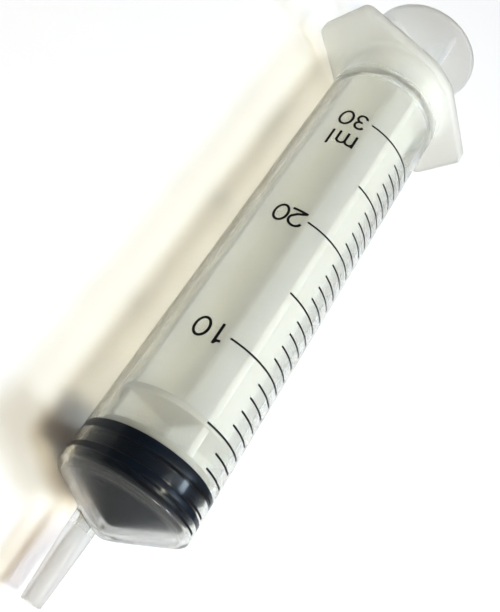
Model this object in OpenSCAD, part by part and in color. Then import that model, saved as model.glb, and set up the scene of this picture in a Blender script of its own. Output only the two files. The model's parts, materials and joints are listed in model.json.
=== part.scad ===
// Oral syringe, 30 ml: one-piece moulded barrel with an off-centre nozzle, a rubber stopper,
// a cross-ribbed plunger rod and a printed millilitre scale.
// The barrel lies along X. The origin is on the barrel's axis at the scale's 0 ml line,
// the nozzle points along -X, the thumb plate is at +X, and the finger wings lie along Y.

/* [Barrel] */
// Outside diameter of the barrel
barrel_od = 24.0; // [22:0.1:26]
// Inside diameter of the barrel
barrel_id = 21.7; // [20:0.1:22]
// Front face of the finger flange, measured from the 0 ml line
flange_x = 102.5; // [98:0.5:110]
// Thickness of the finger flange
flange_t = 2.5; // [1.5:0.1:3]
// Angle between the front cone and the barrel's axis
cone_angle = 61.7; // [58:0.1:66]
// Point of the outer front cone, if it came to a sharp point
cone_x = -7.67; // [-8.5:0.01:-7]
// Thickness of the cone's wall, square to its surface
cone_wall = 1.3; // [1:0.1:1.6]

/* [Finger flange] */
// Distance from the axis to the end of each wing
wing_reach = 20.2; // [17:0.1:24]
// Half width of a wing at its end
wing_end_w = 7.1; // [5:0.1:9]
// Radius of a wing's corners
wing_corner_r = 2.3; // [1:0.1:3]
// Radius of the flange across its middle
flange_mid_r = 13.3; // [12.8:0.1:14]
// Distance from the axis to the flats at the top and bottom of the flange
flange_flat_z = 13.1; // [12.8:0.1:14]
// Radius of the fillet between barrel and flange
flange_fillet_r = 2.2; // [1:0.1:2.5]

/* [Nozzle] */
// Distance of the nozzle's axis below the barrel's axis
nozzle_drop = 6.3; // [5:0.1:7]
// Open end of the nozzle
nozzle_x = -19.35; // [-24:0.05:-14]
// Outside radius of the nozzle at its root
nozzle_root_r = 2.35; // [2:0.05:2.6]
// Outside radius of the nozzle at its open end
nozzle_end_r = 1.8; // [1.7:0.05:2]
// Radius of the channel through the nozzle
lumen_r = 1.15; // [0.8:0.05:1.3]

/* [Stopper] */
// Point of the stopper's cone, if it came to a sharp point
stopper_x = -4.9; // [-5:0.01:-4.5]
// Radial running clearance of the two sealing rings in the barrel
seal_gap = 0.02; // [0.01:0.01:0.1]
// Front edge of the front sealing ring
front_ring_x = 1.4; // [1.2:0.1:1.6]
// Width of the front sealing ring
front_ring_w = 1.4; // [1:0.1:1.6]
// Front edge of the rear sealing ring
rear_ring_x = 5.1; // [4.6:0.1:5.2]
// Back face of the stopper
stopper_back_x = 7.0; // [6.8:0.1:7.4]
// Radius of the groove between the rings
groove_r = 10.15; // [9.8:0.05:10.4]

/* [Plunger rod] */
// Turn of the ribs about the axis
rib_turn = -4.5; // [-45:0.5:45]
// Thickness of the ribs
rib_t = 1.4; // [1.1:0.1:1.8]
// Distance from the axis to a rib's edge
rib_r = 10.0; // [8:0.1:10]
// Front face of the guide disc
guide_x = 13.4; // [12:0.1:16]
// Thickness of the guide disc
guide_t = 1.2; // [0.8:0.1:1.6]
// Radius of the guide disc
guide_r = 10.5; // [10.4:0.05:10.55]
// Front face of the thumb plate
thumb_x = 117.9; // [114:0.1:126]
// Thickness of the thumb plate
thumb_t = 1.4; // [1.3:0.1:2.4]
// Radius of the thumb plate
thumb_r = 12.2; // [11:0.1:14]

/* [Printed scale] */
// Length of barrel that holds 1 ml
ml_pitch = 2.704; // [2.6:0.001:2.8]
// Largest volume on the scale
scale_ml = 30; // [10:10:30]
// Width of a graduation line
line_w = 0.35; // [0.2:0.01:0.5]
// Thickness of the ink
ink_t = 0.04; // [0.03:0.01:0.06]
// Angle round the barrel at which every line ends, from +Y towards +Z
line_end_a = 130; // [120:1:140]
// Angle at which the 10 ml lines start
long_line_a = 58.7; // [50:0.1:70]
// Angle at which the 5 ml lines start
medium_line_a = 78.5; // [70:0.5:90]
// Angle at which the 1 ml lines start
short_line_a = 98.5; // [90:0.5:110]
// Height of the numerals
numeral_h = 4.05; // [3:0.05:4.5]
// Width of a numeral
numeral_w = 2.95; // [2:0.05:3]
// Width of the numerals' strokes
stroke_w = 0.48; // [0.3:0.01:0.6]

/* [Hidden] */

$fn = 96;
barrel_r = barrel_od / 2;
bore_r = barrel_id / 2;
mouth_x = flange_x + flange_t;
mouth_flare = 0.5;            // how far the mouth opens out, and over what length
mouth_flare_x = 0.8;
cone_slope = tan(cone_angle);
inner_cone_x = cone_x + cone_wall / sin(cone_angle);
shoulder_r = 1.0;             // rounding between the front cone and the barrel
apex_r = 1.3;                 // where the front cone is cut to a small flat
nozzle_flare = 0.5;           // how far the nozzle's root swells where it meets the cone
flare_x = 1.7;                // and over what length
root_depth = 0.6;             // how far the nozzle's root runs into the cone's wall
bead_r = 1.3;                 // section radius of the retaining bead in the mouth
bead_in_r = 10.25;            // inside radius of the retaining bead
bead_x = 97.9;                // middle of the retaining bead
overlap = 0.5;                // how far joined shapes run into each other
seal_r = bore_r - seal_gap;
ring_round = 0.25;            // rounding of the sealing rings' edges
nose_r = 10.3;                // radius of the stopper in front of its rings
nose_tip_r = 1.0;             // radius of the stopper's blunt tip
joint_gap = 0.15;             // clearance between the rod's head and the stopper
neck_r = 2.6;                 // rod's neck, then its head in the stopper's socket
head_r = 4.2;
head_tip_r = 2.4;
head_x = 1.4;
head_back_x = 4.4;
head_rim = 0.8;               // width of the rim round the head's back
plate_x = stopper_back_x + 0.1;
plate_t = 1.2;                // plate behind the stopper
plate_r = 10.2;
thumb_edge = 0.5;             // rounding of the thumb plate's rim
numeral_a = [49.0, 34.6];     // angles of a numeral's two digits
numeral_shift = [-0.35, -0.45, -0.7];  // shift of each numeral from its line, along the barrel
unit_x = 76.66;               // base line of the unit, and the angles of its two letters
unit_a = [46.0, 31.2];
unit_w = 3.8;
x_height = 3.15;
bold = stroke_w / 2;
digit_w = numeral_w / 2 - bold;
ink_color = [0.08, 0.08, 0.09];

// ---- Helpers -------------------------------------------------------------------------

// Turns a shape drawn in X and Y, standing along Z, so that it stands along the barrel.
module along_barrel() rotate([90, 0, 90]) children();

// Solid of revolution about the barrel's axis, from [radius, x] points.
module turned(points) along_barrel() rotate_extrude() polygon(points);

// Disc or round rod from x1 to x2, with a radius at each end.
module round_bar(x1, x2, r1, r2)
    translate([x1, 0, 0]) along_barrel() cylinder(h = x2 - x1, r1 = r1, r2 = r2);

// Points on an arc, in steps that end exactly on both angles.
function arc(c, r, a0, a1, steps = 8) =
    [for (i = [0:steps]) c + r * [cos(a0 + (a1 - a0) * i / steps), sin(a0 + (a1 - a0) * i / steps)]];

// ---- Barrel --------------------------------------------------------------------------

// Outline of the finger flange, with Y across and Z up.
module flange_outline() {
    corner = [wing_reach - wing_corner_r, wing_end_w - wing_corner_r];
    intersection() {
        hull() {
            circle(r = flange_mid_r);
            for (side = [-1, 1], edge = [-1, 1])
                translate([side * corner.x, edge * corner.y]) circle(r = wing_corner_r, $fn = 32);
        }
        square([2 * wing_reach, 2 * flange_flat_z], center = true);
    }
}

// Front cone, rounded shoulder and tube, closed at the front and open at the mouth.
module barrel_shell() {
    shoulder_c = [barrel_r - shoulder_r,
                  cone_x + (barrel_r - shoulder_r) / cone_slope + shoulder_r / sin(cone_angle)];
    turned(concat(
        [[0, cone_x + apex_r / cone_slope], [apex_r, cone_x + apex_r / cone_slope]],
        arc(shoulder_c, shoulder_r, -cone_angle, 0),
        [[barrel_r, mouth_x], [bore_r + mouth_flare, mouth_x], [bore_r, mouth_x - mouth_flare_x]],
        retaining_bead(),
        [[bore_r, inner_cone_x + bore_r / cone_slope], [0, inner_cone_x]]));
}

// Low rounded ring inside the mouth, which keeps the guide disc from coming out.
function retaining_bead() =
    let (c = [bead_in_r + bead_r, bead_x], half = acos((c.x - bore_r) / bead_r))
    arc(c, bead_r, 180 - half, 180 + half, 12);

module flange() {
    translate([flange_x, 0, 0]) along_barrel() linear_extrude(flange_t) flange_outline();
    intersection() {
        turned(concat([[barrel_r - overlap, flange_x], [barrel_r - overlap, flange_x - flange_fillet_r]],
                      arc([barrel_r + flange_fillet_r, flange_x - flange_fillet_r],
                          flange_fillet_r, 180, 90)));
        translate([flange_x - flange_fillet_r, 0, 0])
            along_barrel() linear_extrude(flange_fillet_r) flange_outline();
    }
}

// Tapered spout, which starts inside the cone's wall. Its root swells into the cone.
module nozzle() translate([0, 0, -nozzle_drop]) {
    root_x = cone_x + nozzle_drop / cone_slope;
    round_bar(nozzle_x, root_x + root_depth, nozzle_end_r, nozzle_root_r);
    round_bar(root_x - flare_x, root_x + root_depth, nozzle_root_r - 0.1, nozzle_root_r + nozzle_flare);
}

// Space inside the barrel, to clear the nozzle's root and the flange.
module bore_space() {
    turned([[0, inner_cone_x], [bore_r, inner_cone_x + bore_r / cone_slope],
            [bore_r, mouth_x - mouth_flare_x], [bore_r + mouth_flare, mouth_x],
            [bore_r + mouth_flare, mouth_x + overlap], [0, mouth_x + overlap]]);
}

module barrel() color([0.86, 0.87, 0.82, 0.45]) difference() {
    union() {
        barrel_shell();
        difference() {
            union() {
                flange();
                nozzle();
            }
            bore_space();
        }
    }
    translate([0, 0, -nozzle_drop]) round_bar(nozzle_x - overlap, 0, lumen_r, lumen_r);
}

// ---- Stopper -------------------------------------------------------------------------

// One sealing ring from x1 to x2 with rounded edges, as [radius, x] points.
function seal_ring(x1, x2) = concat(
    arc([seal_r - ring_round, x1 + ring_round], ring_round, -90, 0, 4),
    arc([seal_r - ring_round, x2 - ring_round], ring_round, 0, 90, 4));

module stopper() color([0.10, 0.11, 0.13]) difference() {
    turned(concat(
        [[0, stopper_x + nose_tip_r / cone_slope], [nose_tip_r, stopper_x + nose_tip_r / cone_slope]],
        [[nose_r, stopper_x + nose_r / cone_slope], [nose_r, front_ring_x]],
        seal_ring(front_ring_x, front_ring_x + front_ring_w),
        [[groove_r, front_ring_x + front_ring_w], [groove_r, rear_ring_x]],
        seal_ring(rear_ring_x, stopper_back_x),
        [[0, stopper_back_x]]));
    turned([[0, head_x - joint_gap], [head_tip_r + joint_gap, head_x - joint_gap],
            [head_r + joint_gap, head_back_x - head_rim], [head_r + joint_gap, head_back_x + joint_gap],
            [neck_r + joint_gap, head_back_x + joint_gap],
            [neck_r + joint_gap, stopper_back_x + overlap], [0, stopper_back_x + overlap]]);
}

// ---- Plunger rod ---------------------------------------------------------------------

// Head, neck and front plate, which hold the stopper, in one turned shape.
module stopper_holder() turned([
    [0, head_x], [head_tip_r, head_x], [head_r, head_back_x - head_rim], [head_r, head_back_x],
    [neck_r, head_back_x], [neck_r, plate_x], [plate_r, plate_x], [plate_r, plate_x + plate_t],
    [0, plate_x + plate_t]]);

// Four ribs in a cross, which start inside the front plate and end inside the thumb plate.
module ribs() {
    start_x = plate_x + plate_t / 2;
    translate([start_x, 0, 0]) along_barrel()
        linear_extrude(thumb_x + thumb_t / 2 - start_x) {
            square([2 * rib_r, rib_t], center = true);
            square([rib_t, 2 * rib_r], center = true);
        }
}

module plunger_rod() color([0.88, 0.89, 0.86]) {
    stopper_holder();
    round_bar(guide_x, guide_x + guide_t, guide_r, guide_r);
    rotate([rib_turn, 0, 0]) ribs();
    thumb_plate();
}

// Round plate with rounded rims, pressed by the thumb.
module thumb_plate() turned(concat(
    [[0, thumb_x]],
    arc([thumb_r - thumb_edge, thumb_x + thumb_edge], thumb_edge, -90, 0, 5),
    arc([thumb_r - thumb_edge, thumb_x + thumb_t - thumb_edge], thumb_edge, 0, 90, 5),
    [[0, thumb_x + thumb_t]]));

// ---- Printed scale -------------------------------------------------------------------

// Line round the barrel at one volume, from angle a0 to where all lines end.
module graduation(ml, a0)
    translate([ml * ml_pitch - line_w / 2, 0, 0]) along_barrel()
        rotate(a0) rotate_extrude(angle = line_end_a - a0)
            translate([barrel_r, 0]) square([ink_t, line_w]);

// Places a flat glyph on the barrel, with its top towards the nozzle.
module printed(x, a) intersection() {
    rotate([a, 0, 0]) translate([x, barrel_r - 1, 0])
        rotate([-90, 90, 0]) linear_extrude(2) children();
    along_barrel() linear_extrude(mouth_x) difference() {
        circle(r = barrel_r + ink_t);
        circle(r = barrel_r);
    }
}

// Stroke of constant width along a path of points.
module stroke(path) {
    last = len(path) - 1;
    side = [for (i = [0:last])
        let (d = path[min(i + 1, last)] - path[max(i - 1, 0)]) bold * [-d.y, d.x] / norm(d)];
    polygon(concat([for (i = [0:last]) path[i] + side[i]],
                   [for (i = [last:-1:0]) path[i] - side[i]]));
}

// Glyphs, drawn upright on the base line and centred on the Y axis.

module glyph_0() {
    middle = numeral_h / 2;
    turns = [0:9:351];
    difference() {
        polygon([for (a = turns) [(digit_w + bold) * cos(a), middle + middle * sin(a)]]);
        polygon([for (a = turns) [(digit_w - bold) * cos(a), middle + (middle - stroke_w) * sin(a)]]);
    }
}

module glyph_1() {
    translate([-bold, 0]) square([stroke_w, numeral_h]);
    stroke([[0, numeral_h - bold], [-0.35, numeral_h - 0.75], [-0.95, numeral_h - 0.95]]);
}

module glyph_2() {
    stroke(concat(arc([0, numeral_h - bold - digit_w], digit_w, 170, -25, 14),
                  [[0.25, 1.15], [-0.65, 0.7], [-digit_w, bold]]));
    translate([-digit_w - bold, 0]) square([numeral_w, stroke_w]);
}

module glyph_3() {
    upper = 0.88;
    lower = (numeral_h - stroke_w - 2 * upper) / 2;
    stroke(arc([0, numeral_h - bold - upper], upper, 165, -90, 14));
    stroke(arc([0, bold + lower], lower, 90, -165, 14));
    translate([-0.35, 2 * lower]) square([0.35, stroke_w]);
}

module glyph_m() {
    arch_r = unit_w / 4 - bold / 2;
    leg = x_height - 0.7 * arch_r;
    for (side = [-1, 0, 1]) translate([side * 2 * arch_r - bold, 0]) square([stroke_w, leg]);
    translate([-2 * arch_r - bold, 0]) square([stroke_w, x_height]);
    for (side = [-1, 1])
        stroke(arc([side * arch_r, x_height - bold - arch_r], arch_r, 0, 180, 12));
}

module glyph_l() translate([-bold, 0]) square([stroke_w, numeral_h]);

module numeral(tens) color(ink_color) {
    base_x = tens * 10 * ml_pitch + numeral_shift[tens - 1] + numeral_h / 2;
    printed(base_x, numeral_a[0]) {
        if (tens == 1) glyph_1();
        if (tens == 2) glyph_2();
        if (tens == 3) glyph_3();
    }
    printed(base_x, numeral_a[1]) glyph_0();
}

module unit_ml() color(ink_color) {
    printed(unit_x, unit_a[0]) glyph_m();
    printed(unit_x, unit_a[1]) glyph_l();
}

module marks_10ml() color(ink_color)
    for (ml = [0:10:scale_ml]) graduation(ml, long_line_a);

module marks_5ml() color(ink_color)
    for (ml = [5:10:scale_ml]) graduation(ml, medium_line_a);

module marks_1ml() color(ink_color)
    for (ml = [1:scale_ml]) if (ml % 5 != 0) graduation(ml, short_line_a);

barrel();
stopper();
plunger_rod();
marks_1ml();
marks_5ml();
marks_10ml();
numeral(1);  // numeral_10
numeral(2);  // numeral_20
numeral(3);  // numeral_30
unit_ml();
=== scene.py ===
"""Looks of the oral syringe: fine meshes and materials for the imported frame, a camera, lamps and a floor."""

import json
import math

import bmesh
import bpy
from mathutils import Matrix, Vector


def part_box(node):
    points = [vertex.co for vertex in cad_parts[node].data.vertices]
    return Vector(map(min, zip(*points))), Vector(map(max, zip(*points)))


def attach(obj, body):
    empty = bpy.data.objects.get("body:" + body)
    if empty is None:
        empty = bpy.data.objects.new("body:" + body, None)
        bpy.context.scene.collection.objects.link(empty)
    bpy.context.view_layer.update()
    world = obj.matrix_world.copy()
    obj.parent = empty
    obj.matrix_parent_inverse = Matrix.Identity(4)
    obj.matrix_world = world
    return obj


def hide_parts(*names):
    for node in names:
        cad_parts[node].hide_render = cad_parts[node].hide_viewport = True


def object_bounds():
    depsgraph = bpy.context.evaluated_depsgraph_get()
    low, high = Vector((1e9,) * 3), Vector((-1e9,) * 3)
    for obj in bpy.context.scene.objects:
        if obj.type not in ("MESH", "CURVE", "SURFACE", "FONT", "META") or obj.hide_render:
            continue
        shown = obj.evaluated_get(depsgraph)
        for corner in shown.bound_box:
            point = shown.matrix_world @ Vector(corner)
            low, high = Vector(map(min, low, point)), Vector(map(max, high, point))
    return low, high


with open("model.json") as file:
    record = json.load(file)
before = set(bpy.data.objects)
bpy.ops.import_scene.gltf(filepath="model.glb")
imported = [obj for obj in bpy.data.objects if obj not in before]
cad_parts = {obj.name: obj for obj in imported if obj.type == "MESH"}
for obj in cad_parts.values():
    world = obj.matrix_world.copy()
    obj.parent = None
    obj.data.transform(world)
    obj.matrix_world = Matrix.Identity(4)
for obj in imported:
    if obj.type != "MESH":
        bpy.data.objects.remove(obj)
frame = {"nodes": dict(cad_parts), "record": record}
CAD_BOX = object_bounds()

MM = 0.001
MOUNTS = {m["name"]: m for m in frame["record"]["mounts"]}

# ---- Sizes, in millimetres -------------------------------------------------------------
# Outer ends, radii and mounts come from the frame. It doesn't hold the other places, thicknesses, angles
# and roundings, so those are set here to fit the CAD's shapes.

BARREL_LO, BARREL_HI = (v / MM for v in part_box("barrel"))
STOPPER_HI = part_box("stopper")[1] / MM
ROD_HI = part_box("plunger_rod")[1] / MM

# Barrel
BARREL_R = MOUNTS["barrel_body"]["dims"]["r_mm"]
RING_CLEARANCE = 0.02
BORE_R = STOPPER_HI.y + RING_CLEARANCE
LUMEN_R = MOUNTS["nozzle_channel"]["dims"]["r_mm"]
LUMEN_EDGE = 0.25
NOZZLE_Z = MOUNTS["nozzle_channel"]["pos_m"][2] / MM
NOZZLE_X = BARREL_LO.x
NOZZLE_ROOT_R = 2.35
NOZZLE_END_R = 1.8
NOZZLE_INNER_EDGE = 0.16
NOZZLE_OUTER_EDGE = 0.256
NOZZLE_FILLET_R = 1.0
CONE_ANGLE = math.radians(61.7)
CONE_SLOPE = math.tan(CONE_ANGLE)
CONE_X = -7.67
CONE_WALL = 1.3
INNER_CONE_X = CONE_X + CONE_WALL / math.sin(CONE_ANGLE)
APEX_ROUND = 1.3
INNER_APEX_ROUND = 0.8
SHOULDER_R = 1.0
FLANGE_X = MOUNTS["wing_face_left"]["pos_m"][0] / MM
MOUTH_X = BARREL_HI.x
WING_REACH = BARREL_HI.y
FLANGE_FLAT_Z = BARREL_HI.z
FLANGE_MID_R = 13.3
WING_END_W = 7.1
WING_CORNER_R = 2.3
FLANGE_FILLET_R = 2.2
FLANGE_EDGE_R = 0.6
MOUTH_EDGE_R = 0.8
BEAD_X = 97.9
BEAD_R = 1.3
BEAD_IN_R = 10.25

# Stopper. Each seal is (start, end) along the barrel, and is drawn pressed a little into the wall, so that
# its black contact band shows.
NOSE_X = -4.9
NOSE_ROUND = 1.0
NOSE_R = 10.3
NOSE_EDGE_R = 0.5
NOSE_EDGE_X = 0.85
GROOVE_R = 10.15
SEAL_PRESS = 0.03
SEAL_R = BORE_R + SEAL_PRESS
SEAL_EDGE_R = 0.35
FRONT_SEAL = (1.4, 2.8)
BACK_SEAL = (5.1, STOPPER_HI.x)
SOCKET_FRONT_X = 1.25
SOCKET_BACK_X = 4.55
SOCKET_WIDEST_X = 3.6
SOCKET_TIP_R = 2.4
SOCKET_R = 4.35
SOCKET_NECK_R = 2.75

# Plunger rod
HEAD_FRONT_X = 1.4
HEAD_BACK_X = 4.4
HEAD_WIDEST_X = 3.5
HEAD_TIP_R = 2.4
HEAD_R = 4.2
HEAD_EDGE_R = 0.3
NECK_R = 2.6
THUMB_R = ROD_HI.z
THUMB_BACK = ROD_HI.x
THUMB_T = 1.4
PLATE_X = STOPPER_HI.x + 0.1
PLATE_T = 1.2
PLATE_R = 10.2
GUIDE_X = 13.4
GUIDE_T = 1.2
GUIDE_R = 10.5
DISC_EDGE_R = 0.25
THUMB_EDGE_R = 0.5
RIB_R = 10.0
RIB_T = 1.4
RIB_EDGE_R = 0.3
RIB_INNER_FILLET_R = 0.9
RIB_END_FILLET_R = 0.5
RIB_TURN = math.radians(-4.5)


# ---- Curves and skins ------------------------------------------------------------------

def arc(cx, cy, r, a0, a1, steps=6):
    """Points on an arc from angle a0 to a1, in degrees."""
    turns = [math.radians(a0 + (a1 - a0) * i / steps) for i in range(steps + 1)]
    return [(cx + r * math.cos(t), cy + r * math.sin(t)) for t in turns]


def line(p, q, steps):
    """Points from p towards q, without q."""
    return [tuple(a + (b - a) * i / steps for a, b in zip(p, q)) for i in range(steps)]


def resample(path, step):
    """Points at even steps along a closed path of 2-D points."""
    loop = path + path[:1]
    lengths = [math.dist(a, b) for a, b in zip(loop, loop[1:])]
    count = max(8, round(sum(lengths) / step))
    out, at, k = [], 0.0, 0
    for i in range(count):
        target = sum(lengths) * i / count
        while at + lengths[k] < target:
            at += lengths[k]
            k += 1
        s = (target - at) / lengths[k]
        out.append(tuple(a + (b - a) * s for a, b in zip(loop[k], loop[k + 1])))
    return out


def normals(points):
    """Outward normals of a closed outline that runs anticlockwise."""
    out = []
    for i in range(len(points)):
        dx = points[(i + 1) % len(points)][0] - points[i - 1][0]
        dy = points[(i + 1) % len(points)][1] - points[i - 1][1]
        size = math.hypot(dx, dy)
        out.append((dy / size, -dx / size))
    return out


def skin(name, rings, loop=False):
    """Closed surface through rings of (x, y, z) points in millimetres, all with the same number of points.
    A loop joins the last ring to the first. Otherwise both ends close on a middle point."""
    n = len(rings[0])
    bm = bmesh.new()
    verts = [[bm.verts.new(Vector(p) * MM) for p in ring] for ring in rings]
    pairs = list(zip(verts, verts[1:])) + ([(verts[-1], verts[0])] if loop else [])
    for a, b in pairs:
        for i in range(n):
            j = (i + 1) % n
            bm.faces.new((a[i], a[j], b[j], b[i]))
    if not loop:
        for ring in (verts[0], verts[-1]):
            middle = bm.verts.new(sum((v.co for v in ring), Vector()) / n)
            for i in range(n):
                bm.faces.new((ring[i], ring[(i + 1) % n], middle))
    bmesh.ops.recalc_face_normals(bm, faces=bm.faces)
    mesh = bpy.data.meshes.new(name)
    bm.to_mesh(mesh)
    bm.free()
    for face in mesh.polygons:
        face.use_smooth = True
    piece = bpy.data.objects.new(name, mesh)
    bpy.context.scene.collection.objects.link(piece)
    return piece


def place(piece, body, node, material):
    """Finishes a piece: its body, the node it stands for and its material."""
    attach(piece, body)
    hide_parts(node)
    piece.data.materials.append(material)


# ---- Barrel ----------------------------------------------------------------------------

def flange_outline():
    """Outline of the finger flange as (y, z): a disc with two wings that narrow towards their ends."""
    cy, cz = WING_REACH - WING_CORNER_R, WING_END_W - WING_CORNER_R
    away = math.hypot(cy, cz)
    lean = math.degrees(math.atan2(cz, cy))
    side = lean + math.degrees(math.acos((FLANGE_MID_R - WING_CORNER_R) / away))
    path = arc(cy, cz, WING_CORNER_R, 0, side, 24)
    path += arc(0, 0, FLANGE_MID_R, side, 180 - side, 48)
    path += arc(-cy, cz, WING_CORNER_R, 180 - side, 180, 24)
    path = [(y, min(z, FLANGE_FLAT_Z)) for y, z in path]
    return path + [(-y, -z) for y, z in path]


def cone_surface(y, z, apex_x, apex_round):
    """Place along the barrel of the front cone's surface at (y, z), with a rounded point."""
    return apex_x + math.hypot(y, z, apex_round) / CONE_SLOPE


def shifted_rings(turns, start, end, apex_x, apex_round, steps):
    """Rings on the front cone that grow from one circle to another. A circle is (centre z, radius)."""
    rings = []
    for k in range(steps + 1):
        s = k / steps
        cz, r = (a + (b - a) * s for a, b in zip(start, end))
        flat = [(r * math.cos(t), cz + r * math.sin(t)) for t in turns]
        rings.append([(cone_surface(y, z, apex_x, apex_round), y, z) for y, z in flat])
    return rings


def circle_rings(turns, profile, cz=0.0):
    """Rings round an axis along the barrel, from (x, radius) points."""
    return [[(x, r * math.cos(t), cz + r * math.sin(t)) for t in turns] for x, r in profile]


def nozzle_rings(turns):
    """Outside of the nozzle, from the inner edge of its end to the fillet on the front cone."""
    inner, outer, fillet = NOZZLE_INNER_EDGE, NOZZLE_OUTER_EDGE, NOZZLE_FILLET_R
    profile = arc(NOZZLE_X + inner, LUMEN_R + inner, inner, -90, -180, 4)
    profile += arc(NOZZLE_X + outer, NOZZLE_END_R - outer, outer, 180, 90, 5)
    taper_start = (NOZZLE_X + 1.0, NOZZLE_END_R + 0.03)
    root_x = CONE_X + (abs(NOZZLE_Z) - NOZZLE_ROOT_R) / CONE_SLOPE - fillet - 0.4
    profile += line(taper_start, (root_x, NOZZLE_ROOT_R), 10)
    rings = circle_rings(turns, profile, NOZZLE_Z)
    for k in range(9):
        bend = math.radians(90 * k / 8)
        r = NOZZLE_ROOT_R + fillet * (1 - math.cos(bend))
        flat = [(r * math.cos(t), NOZZLE_Z + r * math.sin(t)) for t in turns]
        rings.append([(cone_surface(y, z, CONE_X, APEX_ROUND) - fillet * (1 - math.sin(bend)), y, z)
                      for y, z in flat])
    return rings


def flange_front_x(r):
    """Place of the flange's front face at a radius, with its fillet on the tube."""
    reach = min(max(BARREL_R + FLANGE_FILLET_R - r, 0), FLANGE_FILLET_R)
    return FLANGE_X - FLANGE_FILLET_R + math.sqrt(FLANGE_FILLET_R ** 2 - reach ** 2)


def between(turns, r, outline, share):
    """Outline that is a circle of radius r at share 0 and the given outline at share 1, as (y, z)."""
    return [((1 - share) * r * math.cos(t) + share * y, (1 - share) * r * math.sin(t) + share * z)
            for t, (y, z) in zip(turns, outline)]


def flange_rings(turns, outline):
    """Fillet, front face, rounded rim and back face of the finger flange, out to the mouth's edge."""
    out = normals(outline)
    inset = [(y - ny * FLANGE_EDGE_R, z - nz * FLANGE_EDGE_R) for (y, z), (ny, nz) in zip(outline, out)]
    rings = []
    for k in range(1, 25):
        flat = between(turns, BARREL_R, inset, (k / 24) ** 1.6)
        rings.append([(flange_front_x(math.hypot(y, z)), y, z) for y, z in flat])
    front = [p[0] for p in rings[-1]]
    for k in range(1, 9):
        bend = math.radians(-90 + 180 * k / 8)
        side = (bend > 0) - (bend < 0)
        rise = FLANGE_EDGE_R * math.cos(bend)
        rim = []
        for (y, z), (ny, nz), x0 in zip(inset, out, front):
            straight = max((MOUTH_X - x0) / 2 - FLANGE_EDGE_R, 0)
            x = (x0 + MOUTH_X) / 2 + FLANGE_EDGE_R * math.sin(bend) + side * straight
            rim.append((x, y + ny * rise, z + nz * rise))
        rings.append(rim)
    for k in range(1, 9):
        rings.append([(MOUTH_X, y, z) for y, z in between(turns, BORE_R + MOUTH_EDGE_R, inset, 1 - k / 8)])
    return rings


def bore_profile():
    """Inside of the barrel as (x, radius), from the mouth to the corner at the front cone."""
    mouth = arc(MOUTH_X - MOUTH_EDGE_R, BORE_R + MOUTH_EDGE_R, MOUTH_EDGE_R, 0, -90, 8)[1:]
    half = math.degrees(math.acos((BEAD_IN_R + BEAD_R - BORE_R) / BEAD_R))
    bead = arc(BEAD_X, BEAD_IN_R + BEAD_R, BEAD_R, -90 + half, -90 - half, 12)
    bore_end = (INNER_CONE_X + BORE_R / CONE_SLOPE + 0.4, BORE_R)
    return mouth + bead + line((BEAD_X - 4, BORE_R), bore_end, 16) + [bore_end]


def make_barrel(material):
    outline = resample(flange_outline(), 0.36)
    turns = [math.atan2(z, y) for y, z in outline]
    shoulder_x = CONE_X + (BARREL_R - SHOULDER_R) / CONE_SLOPE + SHOULDER_R / math.sin(CONE_ANGLE)
    cone_end_r = BARREL_R - SHOULDER_R + SHOULDER_R * math.cos(CONE_ANGLE)
    shoulder = arc(shoulder_x, BARREL_R - SHOULDER_R, SHOULDER_R, 180 - math.degrees(CONE_ANGLE), 90, 7)[1:]
    tube_end = FLANGE_X - FLANGE_FILLET_R
    tube = line((shoulder_x, BARREL_R), (tube_end, BARREL_R), 24)[1:] + [(tube_end, BARREL_R)]
    rings = nozzle_rings(turns)
    nozzle_foot = (NOZZLE_Z, NOZZLE_ROOT_R + NOZZLE_FILLET_R)
    rings += shifted_rings(turns, nozzle_foot, (0, cone_end_r), CONE_X, APEX_ROUND, 48)[1:]
    rings += circle_rings(turns, shoulder + tube)
    rings += flange_rings(turns, outline)
    rings += circle_rings(turns, bore_profile())
    inner_corner, lumen_mouth = (0, BORE_R - 0.5), (NOZZLE_Z, LUMEN_R + LUMEN_EDGE)
    rings += shifted_rings(turns, inner_corner, lumen_mouth, INNER_CONE_X, INNER_APEX_ROUND, 44)
    lumen_x = INNER_CONE_X + (abs(NOZZLE_Z) - LUMEN_R) / CONE_SLOPE
    lumen = line((lumen_x - 2 * LUMEN_EDGE, LUMEN_R), (NOZZLE_X + 0.4, LUMEN_R), 12)
    rings += circle_rings(turns, lumen, NOZZLE_Z)
    barrel = skin("barrel_moulding", rings, loop=True)
    place(barrel, "barrel", "barrel", material)


# ---- Stopper ---------------------------------------------------------------------------

def seal_profile(start_x, end_x, foot_r):
    """One sealing ring as (x, radius), with a small fillet at its front foot."""
    profile = [(start_x - 0.25, foot_r), (start_x - 0.02, foot_r + 0.12)]
    profile += arc(start_x + SEAL_EDGE_R, SEAL_R - SEAL_EDGE_R, SEAL_EDGE_R, 180, 90, 5)
    return profile + arc(end_x - SEAL_EDGE_R, SEAL_R - SEAL_EDGE_R, SEAL_EDGE_R, 90, 0, 5)


def socket_profile(back_x):
    """The stopper's flat back and the socket for the rod's head, as (x, radius) from the rim to the axis."""
    profile = [(back_x, r) for r in (10.0, 7.0, SOCKET_NECK_R + 0.3)]
    profile += [(back_x - 0.3, SOCKET_NECK_R), (SOCKET_BACK_X + 0.45, SOCKET_NECK_R)]
    profile += [(SOCKET_BACK_X, SOCKET_NECK_R + 0.05), (SOCKET_BACK_X, SOCKET_R - 0.1)]
    profile += [(SOCKET_BACK_X - 0.1, SOCKET_R), (SOCKET_WIDEST_X, SOCKET_R)]
    profile += [(SOCKET_FRONT_X + 0.05, SOCKET_TIP_R + 0.2), (SOCKET_FRONT_X, SOCKET_TIP_R)]
    return profile + [(SOCKET_FRONT_X, 0.05)]


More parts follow.
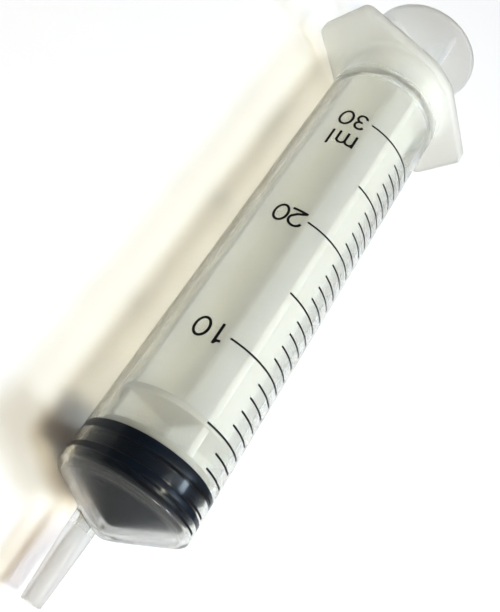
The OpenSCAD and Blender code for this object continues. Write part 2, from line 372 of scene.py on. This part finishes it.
def make_stopper(material):
    radii = [0.05 + 0.4 * k for k in range(25)]
    profile = [(NOSE_X + math.hypot(r, NOSE_ROUND) / CONE_SLOPE, r) for r in radii]
    profile += arc(NOSE_EDGE_X, NOSE_R - NOSE_EDGE_R, NOSE_EDGE_R, 150, 90, 5)
    profile += seal_profile(*FRONT_SEAL, NOSE_R)
    groove_x = FRONT_SEAL[1]
    profile += [(groove_x + 0.02, GROOVE_R + 0.12)]
    profile += [(groove_x + step, GROOVE_R) for step in (0.25, 1.0, 1.8)]
    profile += seal_profile(*BACK_SEAL, GROOVE_R)
    profile += socket_profile(BACK_SEAL[1])
    turns = [math.tau * i / 180 for i in range(180)]
    stopper = skin("rubber_stopper", circle_rings(turns, profile))
    place(stopper, "stopper", "stopper", material)


# ---- Plunger rod -----------------------------------------------------------------------

def cross_outline():
    """Outline of the four ribs as (y, z), with rounded edges and filleted inner corners. Points on the
    straight sides are spread by their angle about the middle, so that discs meet the ribs with even faces."""
    half, edge, fillet = RIB_T / 2, RIB_EDGE_R, RIB_INNER_FILLET_R
    quarter = arc(RIB_R - edge, half - edge, edge, 10, 90, 5)
    corner = half + fillet
    start, end = math.atan2(half, RIB_R - edge), math.atan2(half, corner)
    quarter += [(half / math.tan(start + (end - start) * k / 12), half) for k in range(1, 12)]
    quarter += arc(corner, corner, fillet, -90, -180, 20)
    quarter += [(half, half / math.tan(end + (start - end) * k / 12)) for k in range(1, 12)]
    quarter += arc(half - edge, RIB_R - edge, edge, 0, 80, 5)
    path = []
    for quarter_turn in range(4):
        turn = RIB_TURN + quarter_turn * math.pi / 2
        c, s = math.cos(turn), math.sin(turn)
        path += [(y * c - z * s, y * s + z * c) for y, z in quarter]
        path.append((RIB_R * math.cos(turn + math.pi / 2), RIB_R * math.sin(turn + math.pi / 2)))
    return path


def head_profile():
    """The rod's head, neck and the front face of its front plate, as (x, radius) from the axis outwards."""
    profile = [(HEAD_FRONT_X, 0.05), (HEAD_FRONT_X, HEAD_TIP_R - 0.2), (HEAD_FRONT_X + 0.1, HEAD_TIP_R)]
    profile += [(HEAD_WIDEST_X, HEAD_R - 0.1)]
    profile += arc(HEAD_BACK_X - HEAD_EDGE_R, HEAD_R - HEAD_EDGE_R, HEAD_EDGE_R, 90, 0, 4)
    profile += [(HEAD_BACK_X, NECK_R + 0.2), (HEAD_BACK_X + 0.1, NECK_R)]
    return profile + [(PLATE_X - 0.2, NECK_R), (PLATE_X, NECK_R + 0.2), (PLATE_X, 8.0)]


def rim_profile(start_x, end_x, r, edge):
    """Rounded rim of a disc, as (x, radius)."""
    return arc(start_x + edge, r - edge, edge, 180, 90, 4) + arc(end_x - edge, r - edge, edge, 90, 0, 4)


def rib_ring(cross, out, x, fillet=0.0):
    """The ribs at x, wider by a fillet that fades out towards their outer edges."""
    grow = [fillet * min(1.0, max(0.0, (RIB_R - 0.6 - math.hypot(*p)) / 1.5)) for p in cross]
    return [(x, y + ny * g, z + nz * g) for (y, z), (ny, nz), g in zip(cross, out, grow)]


def rib_foot_rings(cross, out, x, side):
    """Fillet of the ribs on a disc at x. Side 1 is behind the disc, and side -1 in front of it."""
    size = RIB_END_FILLET_R
    rings = []
    for angle in (90, 60, 30, 0)[::side]:
        bend = math.radians(angle)
        place_x = x + side * size * (1 - math.sin(bend))
        rings.append(rib_ring(cross, out, place_x, size * (1 - math.cos(bend))))
    return rings


def make_rod(material):
    cross = cross_outline()
    out = normals(cross)
    turns = [math.atan2(z, y) for y, z in cross]
    plate_back, guide_back, thumb_x = PLATE_X + PLATE_T, GUIDE_X + GUIDE_T, THUMB_BACK - THUMB_T
    rings = circle_rings(turns, head_profile() + rim_profile(PLATE_X, plate_back, PLATE_R, DISC_EDGE_R))
    rings += rib_foot_rings(cross, out, plate_back, 1)
    rings += rib_foot_rings(cross, out, GUIDE_X, -1)
    rings += circle_rings(turns, rim_profile(GUIDE_X, guide_back, GUIDE_R, DISC_EDGE_R))
    rings += rib_foot_rings(cross, out, guide_back, 1)
    span = thumb_x - guide_back - 2 * RIB_END_FILLET_R
    rings += [rib_ring(cross, out, guide_back + RIB_END_FILLET_R + span * k / 16) for k in range(1, 16)]
    rings += rib_foot_rings(cross, out, thumb_x, -1)
    rings += circle_rings(turns, rim_profile(thumb_x, THUMB_BACK, THUMB_R, THUMB_EDGE_R))
    rings += circle_rings(turns, [(THUMB_BACK, r) for r in (10.0, 7.0, 4.0, 1.5, 0.3)])
    rod = skin("plunger_rod_moulding", rings)
    place(rod, "rod", "plunger_rod", material)


# ---- Materials -------------------------------------------------------------------------

def new_material(name):
    material = bpy.data.materials.new(name)
    material.use_nodes = True
    shader = material.node_tree.nodes["Principled BSDF"]
    return material, material.node_tree, shader


def noise_between(tree, scale, low, high):
    """Noise in object space that runs from low to high."""
    coords = tree.nodes.new("ShaderNodeTexCoord")
    noise = tree.nodes.new("ShaderNodeTexNoise")
    noise.inputs["Scale"].default_value = scale
    noise.inputs["Detail"].default_value = 3.0
    spread = tree.nodes.new("ShaderNodeMapRange")
    spread.inputs["From Min"].default_value = 0.3
    spread.inputs["From Max"].default_value = 0.7
    spread.inputs["To Min"].default_value = low
    spread.inputs["To Max"].default_value = high
    tree.links.new(coords.outputs["Object"], noise.inputs["Vector"])
    tree.links.new(noise.outputs["Fac"], spread.inputs["Value"])
    return spread.outputs["Result"]


def along_x(tree, stops):
    """A grey value or a colour that changes along the barrel, from (x in millimetres, value) stops."""
    low, high = stops[0][0], stops[-1][0]
    coords = tree.nodes.new("ShaderNodeTexCoord")
    split = tree.nodes.new("ShaderNodeSeparateXYZ")
    spread = tree.nodes.new("ShaderNodeMapRange")
    spread.inputs["From Min"].default_value = low * MM
    spread.inputs["From Max"].default_value = high * MM
    ramp = tree.nodes.new("ShaderNodeValToRGB")
    elements = ramp.color_ramp.elements
    for k, (x, value) in enumerate(stops):
        if k > 1:
            elements.new(1.0)
        color = value if isinstance(value, tuple) else (value, value, value)
        elements[k].position = (x - low) / (high - low)
        elements[k].color = (*color, 1)
    tree.links.new(coords.outputs["Object"], split.inputs["Vector"])
    tree.links.new(split.outputs["X"], spread.inputs["Value"])
    tree.links.new(spread.outputs["Result"], ramp.inputs["Fac"])
    return ramp.outputs["Color"]


def let_lamps_through(tree, shader, tint):
    """Lets lamp light pass straight through a surface, with the share of it that the tint's stops give."""
    path = tree.nodes.new("ShaderNodeLightPath")
    clear = tree.nodes.new("ShaderNodeBsdfTransparent")
    tree.links.new(along_x(tree, tint), clear.inputs["Color"])
    mix = tree.nodes.new("ShaderNodeMixShader")
    tree.links.new(path.outputs["Is Shadow Ray"], mix.inputs["Fac"])
    tree.links.new(shader.outputs["BSDF"], mix.inputs[1])
    tree.links.new(clear.outputs["BSDF"], mix.inputs[2])
    tree.links.new(mix.outputs["Shader"], tree.nodes["Material Output"].inputs["Surface"])


def plastic(name, color, clear, rough, ior, depth, through):
    """Polypropylene, from stops along the barrel: its colour, how clear it is, its roughness and the share of
    lamp light that gets through. Depth is how far light scatters inside, in millimetres."""
    material, tree, shader = new_material(name)
    shader.inputs["Subsurface Weight"].default_value = 1.0
    shader.inputs["Subsurface Radius"].default_value = (1, 1, 1)
    shader.inputs["Subsurface Scale"].default_value = depth * MM
    shader.inputs["IOR"].default_value = ior
    tree.links.new(along_x(tree, color), shader.inputs["Base Color"])
    tree.links.new(along_x(tree, clear), shader.inputs["Transmission Weight"])
    blend = tree.nodes.new("ShaderNodeMath")
    blend.operation = "MULTIPLY"
    tree.links.new(along_x(tree, rough), blend.inputs[0])
    tree.links.new(noise_between(tree, 90, 0.9, 1.1), blend.inputs[1])
    tree.links.new(blend.outputs["Value"], shader.inputs["Roughness"])
    let_lamps_through(tree, shader, through)
    return material


def barrel_plastic():
    """The nozzle and the flange are milky. The wall is clearest round the stopper, which touches it, and
    slightly hazy over the rod. A thin milky line runs round the front edge."""
    # The front cone is the same plastic as the wall but tinted darker: painted shade, standing in for the
    # shade on the cone wall's side away from the lamps.
    nozzle, cone = (0.84, 0.84, 0.84), (0.76, 0.76, 0.75)
    wall, thick = (0.84, 0.85, 0.825), (0.87, 0.88, 0.84)
    color = [(-20, nozzle), (-9, nozzle), (-7, cone), (-1.5, cone),
             (0, wall), (97, wall), (101, thick), (106, thick)]
    clear = [(-20, 0.60), (-11, 0.62), (-7, 0.92), (-5.5, 0.98), (-1.05, 0.98), (-0.9, 0.88), (-0.6, 0.88),
             (-0.45, 0.997), (7.4, 0.997), (9, 0.92), (94, 0.91), (101, 0.50), (106, 0.50)]
    rough = [(-20, 0.40), (-9, 0.36), (-6, 0.22), (-1.2, 0.20), (-0.4, 0.12),
             (60, 0.12), (95, 0.16), (101, 0.50), (106, 0.50)]
    near, far = (0.58, 0.52, 0.44), (0.81, 0.78, 0.725)
    through = [(-20, near), (-9, near), (-4, far), (106, far)]
    return plastic("clear_plastic", color, clear, rough, 1.2, 8.0, through)


def rod_plastic():
    """The ribs are milky, and the thin thumb plate lets some light through. The plate is also given a paler
    colour than the ribs, though both are the same plastic: painted light on its face.
    """
    rib, plate = (0.73, 0.735, 0.71), (0.92, 0.93, 0.91)
    color = [(0, rib), (100, rib), (110, plate), (120, plate)]
    clear = [(0, 0.0), (100, 0.0), (106, 0.4), (120, 0.4)]
    rough = [(0, 0.45), (120, 0.50)]
    through = [(0, 0.8), (120, 0.8)]
    return plastic("rod_plastic", color, clear, rough, 1.3, 14.0, through)


def rubber():
    """Black rubber, unevenly shiny from its film of silicone oil."""
    material, tree, shader = new_material("stopper_rubber")
    shader.inputs["Base Color"].default_value = (0.004, 0.009, 0.019, 1)
    shader.inputs["Specular IOR Level"].default_value = 0.2
    tree.links.new(noise_between(tree, 160, 0.28, 0.42), shader.inputs["Roughness"])
    return material


def ink():
    """Black printing ink, almost without gloss."""
    material, tree, shader = new_material("printing_ink")
    shader.inputs["Base Color"].default_value = (0.006, 0.006, 0.008, 1)
    shader.inputs["Specular IOR Level"].default_value = 0.15
    tree.links.new(noise_between(tree, 900, 0.45, 0.6), shader.inputs["Roughness"])
    return material


# ---- Camera, lamps and floor -----------------------------------------------------------
# Places and sizes here are in metres, apart from the camera's place, which is in millimetres.

BACKDROP = (0.97, 0.97, 0.96, 1)
FLOOR_SIZE = 3
FLOOR_FADE = (0.14, 0.42)
LAMP_TARGET = (0.04, 0, 0)
WARM_SKY = (1.0, 0.70, 0.48, 1)
SKY_TOWARD = (-0.30, -0.40, 0.85)
SKY_FADE = (0.25, 0.80)
SKY_STRENGTH = (0.04, 0.32)


def make_camera():
    """The photograph's viewing angle, from above and in front of the nozzle."""
    data = bpy.data.cameras.new("camera")
    data.sensor_width = 36
    data.lens = 48.70
    camera = bpy.data.objects.new("camera", data)
    camera.location = Vector((-31.4, 65.5, 111.1)) * MM
    camera.rotation_euler = [math.radians(a) for a in (5.315, -40.782, -50.231)]
    data.clip_start = 0.01
    bpy.context.scene.collection.objects.link(camera)
    bpy.context.scene.camera = camera


def area_light(name, position, size, power, color):
    """Square lamp that shines at the middle of the barrel."""
    data = bpy.data.lights.new(name, "AREA")
    data.shape = "SQUARE"
    data.size = size
    data.energy = power
    data.color = color
    data.cycles.use_multiple_importance_sampling = False
    lamp = bpy.data.objects.new(name, data)
    lamp.location = position
    lamp.rotation_euler = (Vector(LAMP_TARGET) - Vector(position)).to_track_quat("-Z", "Y").to_euler()
    bpy.context.scene.collection.objects.link(lamp)


def fade_into_backdrop(tree, shader):
    """Lets the floor fade out further away, so the camera sees the pale backdrop there."""
    coords = tree.nodes.new("ShaderNodeTexCoord")
    away = tree.nodes.new("ShaderNodeVectorMath")
    away.operation = "LENGTH"
    fade = tree.nodes.new("ShaderNodeMapRange")
    fade.interpolation_type = "SMOOTHSTEP"
    fade.inputs["From Min"].default_value = FLOOR_FADE[0]
    fade.inputs["From Max"].default_value = FLOOR_FADE[1]
    path = tree.nodes.new("ShaderNodeLightPath")
    share = tree.nodes.new("ShaderNodeMath")
    share.operation = "MULTIPLY"
    nothing = tree.nodes.new("ShaderNodeBsdfTransparent")
    mix = tree.nodes.new("ShaderNodeMixShader")
    tree.links.new(coords.outputs["Object"], away.inputs[0])
    tree.links.new(away.outputs["Value"], fade.inputs["Value"])
    tree.links.new(fade.outputs["Result"], share.inputs[0])
    tree.links.new(path.outputs["Is Camera Ray"], share.inputs[1])
    tree.links.new(share.outputs["Value"], mix.inputs["Fac"])
    tree.links.new(shader.outputs["BSDF"], mix.inputs[1])
    tree.links.new(nothing.outputs["BSDF"], mix.inputs[2])
    tree.links.new(mix.outputs["Shader"], tree.nodes["Material Output"].inputs["Surface"])


def make_floor():
    """Pale floor at the foot of the CAD box."""
    bpy.ops.mesh.primitive_plane_add(size=FLOOR_SIZE, location=(0, 0, CAD_BOX[0][2]))
    floor = bpy.context.object
    floor.name = "floor"
    material, tree, shader = new_material("floor")
    shader.inputs["Base Color"].default_value = (0.9, 0.9, 0.9, 1)
    shader.inputs["Roughness"].default_value = 0.8
    fade_into_backdrop(tree, shader)
    floor.data.materials.append(material)


def make_world():
    """Weak warm light that comes mostly from above. The camera sees a plain pale backdrop instead."""
    world = bpy.data.worlds.new("studio")
    world.use_nodes = True
    tree = world.node_tree
    sky = tree.nodes["Background"]
    coords = tree.nodes.new("ShaderNodeTexCoord")
    toward = tree.nodes.new("ShaderNodeVectorMath")
    toward.operation = "DOT_PRODUCT"
    toward.inputs[1].default_value = Vector(SKY_TOWARD).normalized()
    fade = tree.nodes.new("ShaderNodeMapRange")
    fade.interpolation_type = "SMOOTHSTEP"
    fade.inputs["From Min"].default_value = SKY_FADE[0]
    fade.inputs["From Max"].default_value = SKY_FADE[1]
    fade.inputs["To Min"].default_value = SKY_STRENGTH[0]
    fade.inputs["To Max"].default_value = SKY_STRENGTH[1]
    sky.inputs["Color"].default_value = WARM_SKY
    seen = tree.nodes.new("ShaderNodeBackground")
    seen.inputs["Color"].default_value = BACKDROP
    path = tree.nodes.new("ShaderNodeLightPath")
    mix = tree.nodes.new("ShaderNodeMixShader")
    tree.links.new(coords.outputs["Generated"], toward.inputs[0])
    tree.links.new(toward.outputs["Value"], fade.inputs["Value"])
    tree.links.new(fade.outputs["Result"], sky.inputs["Strength"])
    tree.links.new(path.outputs["Is Camera Ray"], mix.inputs["Fac"])
    tree.links.new(sky.outputs["Background"], mix.inputs[1])
    tree.links.new(seen.outputs["Background"], mix.inputs[2])
    tree.links.new(mix.outputs["Shader"], tree.nodes["World Output"].inputs["Surface"])
    bpy.context.scene.world = world


def make_stage():
    scene = bpy.context.scene
    scene.view_settings.view_transform = "Standard"
    scene.view_settings.gamma = 0.88
    make_world()
    make_floor()
    area_light("window", (0.04, -0.370, 0.59), 0.13, 2.6, (0.80, 0.98, 1.25))
    area_light("ceiling", (-0.120, -0.110, 0.675), 0.12, 3.2, (1.0, 1.0, 0.88))


def main():
    make_stage()
    make_camera()
    make_barrel(barrel_plastic())
    make_stopper(rubber())
    make_rod(rod_plastic())
    black = ink()
    for name, node in frame["nodes"].items():
        if name.startswith(("marks", "numeral", "unit")):
            node.data.materials.clear()
            node.data.materials.append(black)


main()
